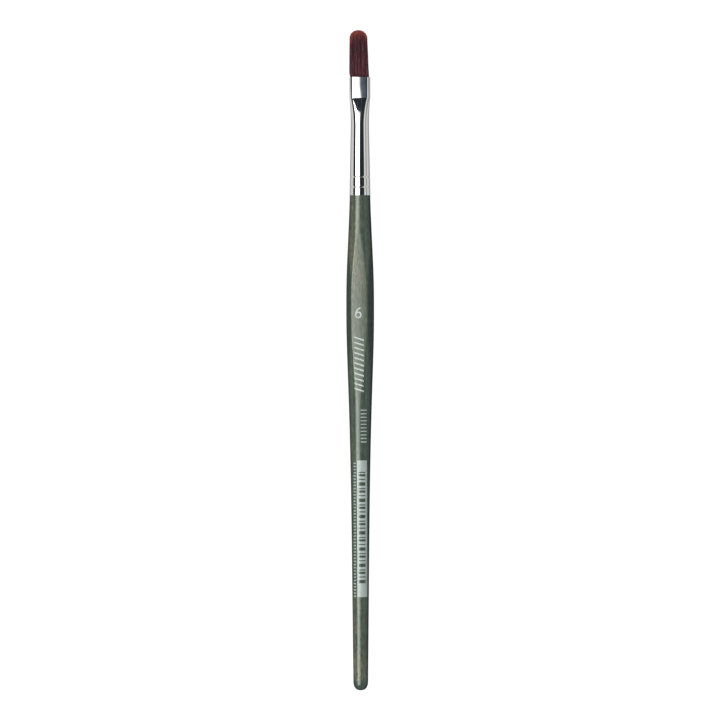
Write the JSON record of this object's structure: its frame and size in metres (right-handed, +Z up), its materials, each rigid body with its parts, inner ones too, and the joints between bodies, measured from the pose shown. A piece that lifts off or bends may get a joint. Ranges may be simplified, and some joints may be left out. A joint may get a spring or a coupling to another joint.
{
  "type": "paint brush",
  "caption": "Short-handled filbert paint brush: turned wooden handle with flats planed on its grip, plated metal ferrule crimped over the tang, and a springy tuft.",
  "frame": {"origin": "centre of the bounding box on the surface that the brush lies on, under the grip's back flat", "axes": "+X along the brush towards the tuft's tip, +Y across it, +Z up out of the grip's printed flat"},
  "size_m": [0.188, 0.008, 0.0067],
  "materials": {
    "stained_wood": "green-grey stained birch under clear satin lacquer",
    "plated_metal": "bright nickel plating on a seamless brass tube",
    "filament": "dark red-brown synthetic filament, lighter and redder at the tip",
    "thread": "waxed binding thread",
    "resin": "cast amber resin",
    "glue": "clear adhesive film",
    "foil": "hot-stamped silver foil"
  },
  "bodies": {
    "brush": {"handle": "stained_wood", "ferrule": "plated_metal", "tuft_root": "filament", "binding_thread": "thread", "resin_plug": "resin", "tang_glue": "glue", "size_numeral": "foil", "hatch_band": "foil", "tick_band": "foil", "dash_line": "foil", "bar_panel": "foil"},
    "tuft": {"tuft": "filament"}
  },
  "joints": [
    {"name": "tuft_flex", "type": "hinge", "parent": "brush", "child": "tuft", "pos_m": [0.08153, 0, 0.00333], "axis": [0, 1, 0], "range_deg": [-35, 35], "stiffness_Nm_per_rad": 0.0025}
  ]
}
